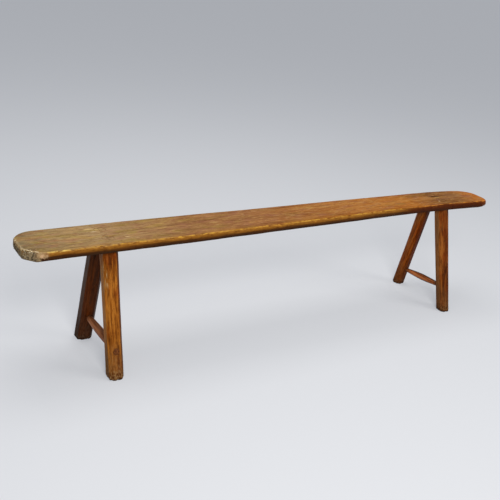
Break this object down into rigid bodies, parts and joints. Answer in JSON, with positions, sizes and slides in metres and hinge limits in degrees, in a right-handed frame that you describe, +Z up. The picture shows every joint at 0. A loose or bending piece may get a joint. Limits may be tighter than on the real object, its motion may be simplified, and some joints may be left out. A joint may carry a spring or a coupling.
{
  "type": "bench",
  "caption": "Long narrow plank bench on splayed squared legs that are wedged through the seat, with a whittled stretcher between the legs at each end.",
  "frame": {"origin": "centre of the object's box on the floor", "axes": "+X along the seat towards its tapered end, +Y to the back, +Z up"},
  "size_m": [1.955, 0.3416, 0.446],
  "materials": {
    "seat_wood": "worn waxed plank, warm brown with greyer ends",
    "leg_wood": "dark waxed hewn wood, reddish orange brown",
    "wedge_wood": "end grain darkened by wear",
    "stretcher_wood": "whittled wood, dark reddish brown"
  },
  "bodies": {
    "root": {"seat_plank": "seat_wood", "front_left_leg": "leg_wood", "back_left_leg": "leg_wood", "front_right_leg": "leg_wood", "back_right_leg": "leg_wood", "front_left_wedge": "wedge_wood", "back_left_wedge": "wedge_wood", "front_right_wedge": "wedge_wood", "back_right_wedge": "wedge_wood", "left_stretcher": "stretcher_wood", "right_stretcher": "stretcher_wood"}
  },
  "joints": []
}
